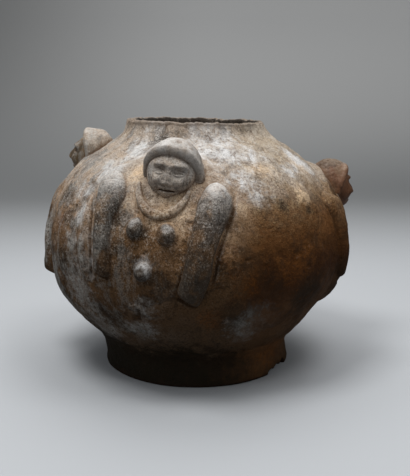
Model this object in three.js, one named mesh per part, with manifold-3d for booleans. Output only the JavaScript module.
// A hand-built earthenware pot: a round-bottomed vessel on a luted foot ring, with a short
// broken neck and three human figures made of applied pieces of clay around its shoulder.
// Millimetres, +Z up. The front is -Y, and the origin is on the floor under the middle.
import * as THREE from "three";
import { mergeVertices } from "three/addons/utils/BufferGeometryUtils.js";
import Module from "manifold-3d";

const wasm = await Module();
wasm.setup();

// Driving dimensions of the vessel
const bellyRadius = 157;
const shoulderRise = 124;
const bellyDrop = 135;
const baseRadius = 88;
const baseSag = 9;
const bodyWall = 9;
const mouthHoleRadius = 64;

const neckBaseRadius = 87;
const neckWaistRadius = 77;
const neckRimRadius = 73.5;
const neckRise = 11.7;
const neckWall = 8;
const lipCrown = 1.5;
const lipFall = 1;
const rimTilt = 1.2;

// The foot narrows from its top by footPinch at the waist and by footTaper at the sole
const footHeight = 35.6;
const footTopRadius = 105;
const footPinch = 5;
const footTaper = 3.5;
const footWaistRadius = footTopRadius - footPinch;
const footRadius = footTopRadius - footTaper;
const footWall = 13;
const footEdge = 2.5;

// The belly's widest ring stands where the round bottom meets the top of the foot
const bellyHeight = footHeight + bellyDrop * Math.sqrt(1 - (footTopRadius / bellyRadius) ** 2);

// Every luted piece keeps this joint gap to what carries it
const seam = 0.3;

// Driving dimensions of a figure, on one that stands at full height. A turn is in degrees around
// the pot from the figure's middle line, and above is a height above the belly's widest ring.
const torso = {
  halfWidth: 84, halfHeight: 82, above: 16, squareness: 2.15,
  thickness: 4.5, ridge: 3.6, groove: 2.2, edge: 1,
};
const head = { halfWidth: 23.5, halfHeight: 25.5, depth: 22, above: 83, turn: 5.2, roll: -8 };
const hair = { thickness: 5.5, forward: 1.5, up: 0.5, hairline: 2, rake: 46 };
const ear = { halfWidth: 2.6, halfHeight: 6, depth: 3.4, below: 4, back: 2 };
const collar = { radius: 23, belowHead: 15, halfWidth: 4.4, thickness: 4.2, turn: 2.6, from: 184, to: 342 };
const breast = { radius: 9, halfHeight: 10, depth: 8.5, standOff: 1.5 };
const rightBreast = { turn: -5.6, above: 33 };
const leftBreast = { turn: 5.3, above: 29 };
const navel = { radius: 7.6, halfHeight: 8.8, depth: 7, standOff: 1.5, turn: -2.6, above: -3.5 };
const rightArm = {
  top: 78, end: -9, shoulderTurn: -20.5, elbowTurn: -18.2, handTurn: -17.6,
  shoulderHalfWidth: 15.5, elbowHalfWidth: 10.5, handHalfWidth: 9.5,
  shoulderThickness: 14, elbowThickness: 10, handThickness: 8,
};
const leftArm = {
  top: 71, end: -27, shoulderTurn: 22.2, elbowTurn: 17.3, handTurn: 12,
  shoulderHalfWidth: 16, elbowHalfWidth: 13, handHalfWidth: 12.4,
  shoulderThickness: 16, elbowThickness: 13, handThickness: 9.5,
};

// A drop lowers a figure down the shoulder and a nod its head further. The head stands off the
// shoulder and tilts its face up. The arms turn outwards by the two armAngles, at the shoulder
// and at the hand, and the two reliefRatios there share out how proud they are.
const figures = [
  { name: "front", azimuth: -15, drop: 0, nod: 0, standOff: 10, tilt: 4, armAngles: [0, 0], reliefRatios: [1, 1] },
  { name: "right", azimuth: 96, drop: 21, nod: 12, standOff: 11, tilt: 6, armAngles: [9, 9], reliefRatios: [0.55, 0.6] },
  { name: "left", azimuth: -115, drop: 6, nod: -7, standOff: 9, tilt: 18, armAngles: [-9, 13], reliefRatios: [0.2, 1] },
];

// Chips: where clay has broken away from the foot's lower edge and from the neck's rim. Each is
// as wide, deep and high as its half sizes, and sits in from the outside and up from the edge.
const footChips = [
  { azimuth: 51, outward: -0.5, up: 0, halfSizes: { across: 5, deep: 7, high: 5 } },
  { azimuth: 58, outward: 1.5, up: 1, halfSizes: { across: 8, deep: 8, high: 6 } },
  { azimuth: 66, outward: 2.5, up: 2, halfSizes: { across: 7, deep: 9, high: 8 } },
];
const rimChips = [
  { azimuth: 74, outward: -0.5, up: 1, halfSizes: { across: 12, deep: 9, high: 4.5 } },
  { azimuth: 92, outward: 1.5, up: 1, halfSizes: { across: 14, deep: 8, high: 3.5 } },
  { azimuth: -80, outward: 0.5, up: 2, halfSizes: { across: 13, deep: 9, high: 4 } },
  { azimuth: 150, outward: -1.5, up: 2.5, halfSizes: { across: 18, deep: 10, high: 4 } },
  { azimuth: 215, outward: -1.5, up: 2.5, halfSizes: { across: 16, deep: 10, high: 4 } },
];

const facets = {
  around: 48, arc: 8, base: 2, armRings: 11, armSides: 10, ballAround: 10, ballDown: 6,
  headAround: 20, hairAround: 16, hairDown: 9, earAround: 6, earDown: 4, torsoAround: 26,
};

const earthenware = new THREE.MeshStandardMaterial({ color: 0x6b4a33, roughness: 0.9, metalness: 0 });
const sootedClay = new THREE.MeshStandardMaterial({ color: 0x2b211b, roughness: 0.9, metalness: 0 });
const dustedClay = new THREE.MeshStandardMaterial({ color: 0x8f8172, roughness: 0.95, metalness: 0 });

const { degToRad, radToDeg, clamp, lerp, smoothstep } = THREE.MathUtils;
const point = (radius, height) => new THREE.Vector2(radius, height);
const upward = new THREE.Vector3(0, 0, 1);

// From geometry to a solid and back
function solidOf(geometry) {
  const bare = new THREE.BufferGeometry();
  bare.setAttribute("position", geometry.getAttribute("position"));
  bare.setIndex(geometry.index);
  const merged = mergeVertices(bare, 1e-3);
  const corners = merged.index.array;
  const kept = [];
  for (let i = 0; i < corners.length; i += 3) {
    const [a, b, c] = [corners[i], corners[i + 1], corners[i + 2]];
    if (a !== b && b !== c && c !== a) kept.push(a, b, c);
  }
  const vertProperties = new Float32Array(merged.getAttribute("position").array);
  const triVerts = new Uint32Array(kept);
  return new wasm.Manifold(new wasm.Mesh({ numProp: 3, vertProperties, triVerts }));
}

function meshOf(name, solid, material) {
  const { vertProperties, triVerts } = solid.getMesh();
  const geometry = new THREE.BufferGeometry();
  geometry.setAttribute("position", new THREE.BufferAttribute(vertProperties, 3));
  geometry.setIndex(new THREE.BufferAttribute(triVerts, 1));
  geometry.computeVertexNormals();
  const mesh = new THREE.Mesh(geometry, material);
  mesh.name = name;
  return mesh;
}

// A closed profile of (radius, height) points, turned around Z
function revolve(profile) {
  const points = THREE.ShapeUtils.area(profile) < 0 ? [...profile].reverse() : profile;
  const closed = points[0].x === 0 ? points : [...points, points[0]];
  return solidOf(new THREE.LatheGeometry(closed, facets.around).rotateX(Math.PI / 2));
}

// Rings of points, each seen anticlockwise from the last ring, closed at both ends by a fan
function loft(rings) {
  const sides = rings[0].length;
  const points = rings.flat();
  const index = [];
  rings.slice(1).forEach((ring, r) => {
    for (let s = 0; s < sides; s++) {
      const next = (s + 1) % sides;
      const [here, above] = [r * sides, (r + 1) * sides];
      index.push(here + s, here + next, above + next, here + s, above + next, above + s);
    }
  });
  const middle = (ring) => ring.reduce((sum, p) => sum.add(p), new THREE.Vector3()).divideScalar(sides);
  const first = points.push(middle(rings[0])) - 1;
  const last = points.push(middle(rings.at(-1))) - 1;
  const lastRing = (rings.length - 1) * sides;
  for (let s = 0; s < sides; s++) {
    const next = (s + 1) % sides;
    index.push(first, next, s, last, lastRing + s, lastRing + next);
  }
  const geometry = new THREE.BufferGeometry().setFromPoints(points);
  geometry.setIndex(index);
  return solidOf(geometry);
}

// The belly's arc, grown by grow, between two radii: above the widest ring or below it
function bellyArc(grow, fromRadius, toRadius, above, steps) {
  const side = above ? 1 : -1;
  const [width, rise] = [bellyRadius + grow, (above ? shoulderRise : bellyDrop) + grow];
  const start = Math.acos(Math.min(1, fromRadius / width));
  const end = Math.acos(Math.min(1, toRadius / width));
  return Array.from({ length: steps + 1 }, (_, i) => {
    const angle = start + ((end - start) * i) / steps;
    return point(width * Math.cos(angle), bellyHeight + side * rise * Math.sin(angle));
  });
}

// The body from the middle of its base, around the belly and up to the mouth, grown by grow
function bodyOutline(grow, steps) {
  const lower = bellyArc(grow, baseRadius, bellyRadius + grow, false, steps);
  const upper = bellyArc(grow, bellyRadius + grow, mouthHoleRadius, true, steps);
  const cap = new THREE.EllipseCurve(0, lower[0].y, baseRadius, baseSag, -Math.PI / 2, 0);
  const base = cap.getPoints(facets.base);
  base[0].x = 0;
  return [...base, ...lower.slice(1), ...upper.slice(1)];
}

function bodySolid() {
  const outside = bodyOutline(0, facets.arc);
  const inside = bodyOutline(-bodyWall, facets.arc / 2).reverse();
  return revolve([...outside, ...inside]);
}

// The space that the body fills, with its hollow and mouth, and the joint gap around it
function bodyClearance() {
  const outside = bodyOutline(seam, facets.arc);
  return revolve([...outside, point(0, outside.at(-1).y)]);
}

// A ball of clay, stretched along three directions and pressed on
function ball(centre, outward, across, high, deep) {
  const right = upward.clone().cross(outward).normalize();
  const up = outward.clone().cross(right);
  const frame = new THREE.Matrix4().makeBasis(right, up, outward).setPosition(centre);
  const geometry = new THREE.SphereGeometry(1, facets.ballAround, facets.ballDown);
  return solidOf(geometry.scale(across, high, deep).applyMatrix4(frame));
}

function outwardAt(turn) {
  const angle = degToRad(turn);
  return new THREE.Vector3(Math.sin(angle), -Math.cos(angle), 0);
}

function chipSolid({ azimuth, outward, up, halfSizes }, radius, height) {
  const direction = outwardAt(azimuth);
  const centre = direction.clone().multiplyScalar(radius + outward).setZ(height + up);
  return ball(centre, direction, halfSizes.across, halfSizes.high, halfSizes.deep);
}

// The neck's joint on the shoulder, and its outside from there to the rim
function neckOutline() {
  const joint = bellyArc(seam, mouthHoleRadius, neckBaseRadius, true, 2);
  const rim = joint[0].y + neckRise;
  const [underWaist] = bellyArc(seam, neckWaistRadius, neckBaseRadius, true, 1);
  const outside = new THREE.SplineCurve([
    joint.at(-1).clone(),
    point(neckWaistRadius, underWaist.y + neckRise / 3),
    point(neckRimRadius, rim),
  ]).getPoints(4);
  return { joint, outside: outside.slice(1), rim };
}

// The neck, which stands on the shoulder around the mouth and ends in a worn, chipped rim
function neckSolid() {
  const { joint, outside, rim } = neckOutline();
  const lip = point(neckRimRadius - neckWall / 2, rim + lipCrown);
  const inside = point(neckRimRadius - neckWall, rim - lipFall);
  const width = 4 * neckBaseRadius;
  const above = new THREE.BoxGeometry(width, width, neckRise).translate(0, 0, neckRise / 2);
  above.rotateY(degToRad(rimTilt)).translate(0, 0, rim);
  const neck = revolve([...joint, ...outside, lip, inside]).subtract(solidOf(above));
  return rimChips.reduce((rest, chip) => rest.subtract(chipSolid(chip, neckRimRadius, rim)), neck);
}

// The space that the neck and its mouth fill, with the joint gap around it
function neckClearance() {
  const { joint, outside, rim } = neckOutline();
  const wide = [joint.at(-1), ...outside].map((p) => point(p.x + seam, p.y));
  return revolve([point(0, wide[0].y), ...wide, point(0, rim)]);
}

// The foot: a ring with a flat sole, luted under the round bottom
function footSolid() {
  const joint = bellyArc(seam, footTopRadius - footWall, footTopRadius, false, 2);
  const top = joint.at(-1).y;
  const outside = new THREE.SplineCurve([
    point(footTopRadius, top),
    point(footWaistRadius, top * 0.55),
    point(footRadius, footEdge),
  ]).getPoints(4).slice(1);
  const sole = [point(footRadius - footEdge, 0), point(footRadius - footWall, 0)];
  const foot = revolve([...joint, ...outside, ...sole]);
  return footChips.reduce((rest, chip) => rest.subtract(chipSolid(chip, footRadius, 0)), foot);
}

// A point on the vessel's outside in a figure's own frame, raised by lift, with the directions there
function onPot(turn, height, lift = 0) {
  const rise = height - bellyHeight;
  const halfRise = rise > 0 ? shoulderRise : bellyDrop;
  const radius = bellyRadius * Math.sqrt(1 - (rise / halfRise) ** 2);
  const outward = outwardAt(turn);
  const normal = outward.clone().multiplyScalar(radius / bellyRadius ** 2);
  normal.z = rise / halfRise ** 2;
  normal.normalize();
  const spot = outward.clone().multiplyScalar(radius).setZ(height).addScaledVector(normal, lift);
  return { spot, normal, outward, radius };
}

// The point at an angle on a rounded square that reaches 1 along both directions
function superEllipse(angle, squareness) {
  const [x, y] = [Math.cos(angle), Math.sin(angle)];
  const reach = (Math.abs(x) ** squareness + Math.abs(y) ** squareness) ** (-1 / squareness);
  return [x * reach, y * reach];
}

// The torso: a shield of clay smeared onto the pot, with a low ridge left around its edge
function torsoSolid(drop, grow) {
  const spokes = facets.torsoAround;
  const layers = [
    { share: 1, lift: -3 },
    { share: 1, lift: torso.edge },
    { share: 0.96, lift: torso.ridge },
    { share: 0.89, lift: torso.groove },
    { share: 0.68, lift: (torso.groove + torso.thickness) / 2 + 0.4 },
    { share: 0.35, lift: torso.thickness },
    { share: 0.02, lift: torso.thickness },
  ];
  const rings = layers.map(({ share, lift }) =>
    Array.from({ length: spokes }, (_, spoke) => {
      const [x, y] = superEllipse((2 * Math.PI * spoke) / spokes, torso.squareness);
      const height = bellyHeight + torso.above - drop + y * share * (torso.halfHeight + grow);
      const turn = radToDeg((x * share * (torso.halfWidth + grow)) / onPot(0, height).radius);
      return onPot(turn, height, lift > 0 ? lift + grow : lift).spot;
    }),
  );
  return loft(rings);
}

// A roll of clay along the pot: spotAt gives its turn and height at a share of its length, and
// sizeAt its half width and how proud it is of the pot
function rollSolid(spotAt, sizeAt, rings, sides, grow) {
  const squareness = 2.3;
  const at = (share) => onPot(...spotAt(clamp(share, 0, 1)));
  return loft(
    Array.from({ length: rings + 1 }, (_, i) => {
      const share = i / rings;
      const { spot, normal } = at(share);
      const along = at(share + 0.02).spot.sub(at(share - 0.02).spot).normalize();
      const across = normal.clone().cross(along).normalize();
      const [halfWidth, proud] = sizeAt(share).map((size) => size + grow);
      return Array.from({ length: sides }, (_, s) => {
        const angle = (2 * Math.PI * s) / sides;
        const [x, y] = superEllipse(angle, squareness);
        return spot.clone().addScaledVector(across, halfWidth * x).addScaledVector(normal, proud * y);
      });
    }),
  );
}

// An arm: a roll with a rounded shoulder, tapering to a hand that is cut off square
function armSolid(arm, { drop, armAngles, reliefRatios }, grow) {
  const through = (a, b, c) => new THREE.SplineCurve([point(0, a), point(0.5, b), point(1, c)]);
  const turns = through(arm.shoulderTurn, arm.elbowTurn, arm.handTurn);
  const widths = through(arm.shoulderHalfWidth, arm.elbowHalfWidth, arm.handHalfWidth);
  const reliefs = through(arm.shoulderThickness, arm.elbowThickness, arm.handThickness);
  const spotAt = (share) => {
    const height = bellyHeight - drop + arm.top + (arm.end - arm.top) * share;
    return [turns.getPoint(share).y + Math.sign(arm.handTurn) * lerp(...armAngles, share), height];
  };
  const sizeAt = (share) => {
    const shoulder = Math.sqrt(1 - clamp(1 - share / 0.2, 0, 1) ** 2);
    const hand = 1 - 0.12 * smoothstep(share, 0.94, 1);
    const round = Math.max(0.3, shoulder) * hand;
    const proud = torso.thickness + reliefs.getPoint(share).y * lerp(...reliefRatios, share);
    return [widths.getPoint(share).y * round, proud * round];
  };
  return rollSolid(spotAt, sizeAt, facets.armRings, facets.armSides, grow);
}

// The necklace: a flat roll in a crescent under the chin
function collarSolid({ drop, nod }, grow) {
  const middle = bellyHeight + head.above - collar.belowHead - drop - nod / 2;
  const spotAt = (share) => {
    const angle = degToRad(collar.from + (collar.to - collar.from) * share);
    const height = middle + collar.radius * Math.sin(angle);
    const across = collar.radius * Math.cos(angle);
    return [collar.turn + radToDeg(across / onPot(0, height).radius), height];
  };
  const sizeAt = (share) => {
    const round = 0.35 + 0.65 * Math.sin(Math.PI * share) ** 0.6;
    return [collar.halfWidth * round, torso.thickness + collar.thickness * round];
  };
  return rollSolid(spotAt, sizeAt, 12, 8, grow);
}

// The head's frame: where it stands off the shoulder, and how it is tilted
function headFrame({ drop, nod, standOff, tilt }) {
  const { spot, outward } = onPot(head.turn, bellyHeight + head.above - drop - nod);
  const frame = new THREE.Matrix4().makeBasis(upward.clone().cross(outward), upward, outward);
  frame.multiply(new THREE.Matrix4().makeRotationX(degToRad(-tilt)));
  frame.multiply(new THREE.Matrix4().makeRotationZ(degToRad(head.roll)));
  return frame.setPosition(spot.addScaledVector(outward, standOff));
}

// How far the face stands out of the plain egg at (u, v), each -1 to 1 over the head's front
function faceRelief(u, v) {
  const mound = (cu, cv, su, sv) => Math.exp(-(((u - cu) / su) ** 2) - ((v - cv) / sv) ** 2);
  const sides = (cu, cv, su, sv) => mound(cu, cv, su, sv) + mound(-cu, cv, su, sv);
  const [eyeSpread, eyeLine, noseBase, mouthLine, chin] = [0.38, 0.04, -0.38, -0.6, -0.88];
  const bridge = Math.exp(-((u / 0.15) ** 2)) * smoothstep(v, noseBase - 0.06, noseBase + 0.03);
  const noseSlope = clamp((eyeLine + 0.24 - v) / (eyeLine + 0.24 - noseBase), 0, 1);
  return (
    4.2 * bridge * noseSlope +
    0.8 * sides(0.13, noseBase + 0.05, 0.1, 0.09) -
    2.6 * sides(eyeSpread, eyeLine + 0.02, 0.22, 0.14) +
    2 * sides(eyeSpread, eyeLine - 0.02, 0.15, 0.08) +
    1 * mound(0, mouthLine + 0.07, 0.26, 0.07) +
    1 * mound(0, mouthLine - 0.08, 0.22, 0.07) -
    1.2 * mound(0, mouthLine, 0.27, 0.035) +
    1.3 * mound(0, chin, 0.24, 0.13) +
    0.9 * sides(0.5, noseBase + 0.02, 0.22, 0.2)
  );
}

// The head: an egg of clay with its face modelled on the side that looks outward, and two ears
function headSolid(shape, grow) {
  const spokes = facets.headAround;
  const frame = headFrame(shape);
  const angles = [7, 14, 21, 28, 35, 42, 49, 57, 66, 78, 96, 122, 155];
  const rings = angles.map((degrees) => {
    const polar = degToRad(degrees);
    return Array.from({ length: spokes }, (_, s) => {
      const angle = (2 * Math.PI * s) / spokes;
      const [u, v] = [Math.sin(polar) * Math.cos(angle), Math.sin(polar) * Math.sin(angle)];
      const w = Math.cos(polar);
      const relief = w > 0 ? faceRelief(u, v) * Math.min(1, w * 2) : 0;
      const reach = new THREE.Vector3(head.halfWidth, head.halfHeight, head.depth).addScalar(grow);
      return new THREE.Vector3(u, v, w).multiply(reach).setZ(w * reach.z + relief).applyMatrix4(frame);
    });
  });
  const ears = [-1, 1].map((side) => {
    const geometry = new THREE.SphereGeometry(1, facets.earAround, facets.earDown);
    geometry.scale(ear.halfWidth + grow, ear.halfHeight + grow, ear.depth + grow);
    return solidOf(geometry.translate(side * head.halfWidth, -ear.below, -ear.back).applyMatrix4(frame));
  });
  return ears.reduce((solid, lug) => solid.add(lug), loft(rings.reverse()));
}

// The largest body of a cut solid, without the crumbs that a cut can leave beside it
function mainBody(solid) {
  return solid.decompose().sort((a, b) => b.volume() - a.volume())[0];
}

// The cap of hair: a thick shell over the skull, cut off along a hairline that rises to the brow
function hairSolid(shape, grow) {
  const frame = headFrame(shape);
  const reach = new THREE.Vector3(head.halfWidth, head.halfHeight, head.depth);
  reach.addScalar(hair.thickness + grow);
  const geometry = new THREE.SphereGeometry(1, facets.hairAround, facets.hairDown);
  geometry.scale(...reach.toArray()).translate(0, hair.up, hair.forward);
  const size = 4 * head.halfHeight;
  const faceOpening = new THREE.BoxGeometry(size, size, size).translate(0, -size / 2, 0);
  faceOpening.rotateX(degToRad(-hair.rake)).translate(0, -hair.hairline - grow, 0);
  return solidOf(geometry.applyMatrix4(frame)).subtract(solidOf(faceOpening.applyMatrix4(frame)));
}

// A breast or a navel: a pellet pressed onto the torso
function knobSolid(knob, place, drop) {
  const lift = torso.thickness + knob.standOff;
  const { spot, normal } = onPot(place.turn, bellyHeight + place.above - drop, lift);
  return ball(spot, normal, knob.radius, knob.halfHeight, knob.depth);
}

function figure(shape, vessel) {
  const { name, azimuth, drop } = shape;
  const group = new THREE.Group();
  group.rotation.z = degToRad(azimuth);
  const ground = vessel.add(torsoSolid(drop, seam));
  const headGap = headSolid(shape, seam);
  const scalp = ground.add(headGap);
  const hairGap = headGap.add(hairSolid(shape, seam));
  const collarGap = collarSolid(shape, seam);
  const add = (piece, solid, material) => group.add(meshOf(`${name}_${piece}`, solid, material));

  add("torso", torsoSolid(drop, 0).subtract(vessel), earthenware);
  add("head", headSolid(shape, 0).subtract(ground), dustedClay);
  add("hair_cap", mainBody(hairSolid(shape, 0).subtract(scalp)), dustedClay);
  add("necklace", collarSolid(shape, 0).subtract(ground.add(hairGap)), dustedClay);
  add("right_breast", knobSolid(breast, rightBreast, drop).subtract(ground.add(collarGap)), dustedClay);
  add("left_breast", knobSolid(breast, leftBreast, drop).subtract(ground.add(collarGap)), dustedClay);
  add("navel", knobSolid(navel, navel, drop).subtract(ground), dustedClay);
  const beside = ground.add(hairGap).add(collarGap);
  add("right_arm", armSolid(rightArm, shape, 0).subtract(beside), earthenware);
  add("left_arm", armSolid(leftArm, shape, 0).subtract(beside), earthenware);
  return group;
}

const pot = new THREE.Group();
pot.add(meshOf("vessel_body", bodySolid(), earthenware));
pot.add(meshOf("neck", neckSolid(), dustedClay));
pot.add(meshOf("foot_ring", footSolid(), sootedClay));
const vessel = bodyClearance().add(neckClearance());
for (const each of figures) pot.add(figure(each, vessel));

// The origin is on the floor, under the middle of the pot's overall box
const extent = new THREE.Box3().setFromObject(pot, true);
const middle = extent.getCenter(new THREE.Vector3());
pot.position.set(-middle.x, -middle.y, -extent.min.z);

export default pot;
